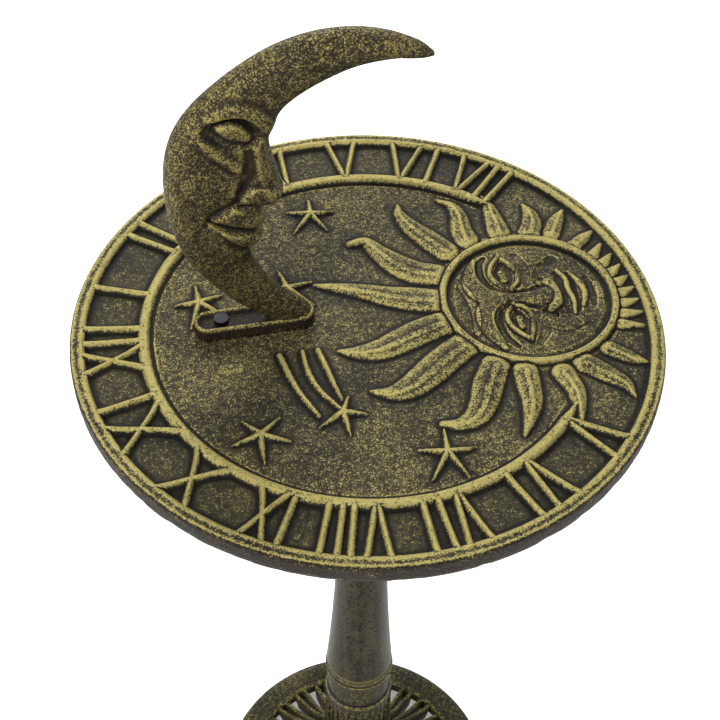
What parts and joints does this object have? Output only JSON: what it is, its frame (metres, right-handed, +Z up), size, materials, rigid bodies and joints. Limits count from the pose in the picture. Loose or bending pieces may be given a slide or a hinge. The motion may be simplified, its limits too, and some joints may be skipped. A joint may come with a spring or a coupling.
{
  "type": "garden sundial",
  "caption": "Cast-iron garden sundial: round relief dial with roman hours and a sun face, crescent-moon gnomon, flared column and pierced foot.",
  "frame": {"origin": "on the column axis at the underside of the foot ring, where the sundial stands", "axes": "+Z up along the column, -X towards the noon mark, +X towards the sun face, +Y towards the afternoon hours"},
  "size_m": [0.24, 0.24, 0.5284],
  "materials": {
    "dial_iron": "dark brown patina dry-brushed with old gold, sand-cast grain",
    "gnomon_iron": "dark brown patina dry-brushed with old gold, sand-cast grain",
    "base_iron": "dark olive-brown patina with rubbed gold edges",
    "column_iron": "satin grey-brown patina",
    "steel": "dulled zinc-plated steel"
  },
  "bodies": {
    "stand": {"base_casting": "base_iron", "column": "column_iron", "base_washer": "steel"},
    "dial": {"dial_plate": "dial_iron", "gnomon": "gnomon_iron", "gnomon_screws": "steel", "gnomon_washers": "steel", "tie_rod": "steel", "jam_nut": "steel", "lock_washer": "steel", "base_nut": "steel"}
  },
  "joints": [
    {"name": "dial_swivel", "type": "hinge", "parent": "stand", "child": "dial", "pos_m": [0, 0, 0.3744], "axis": [0, 0, 1], "continuous": true}
  ]
}
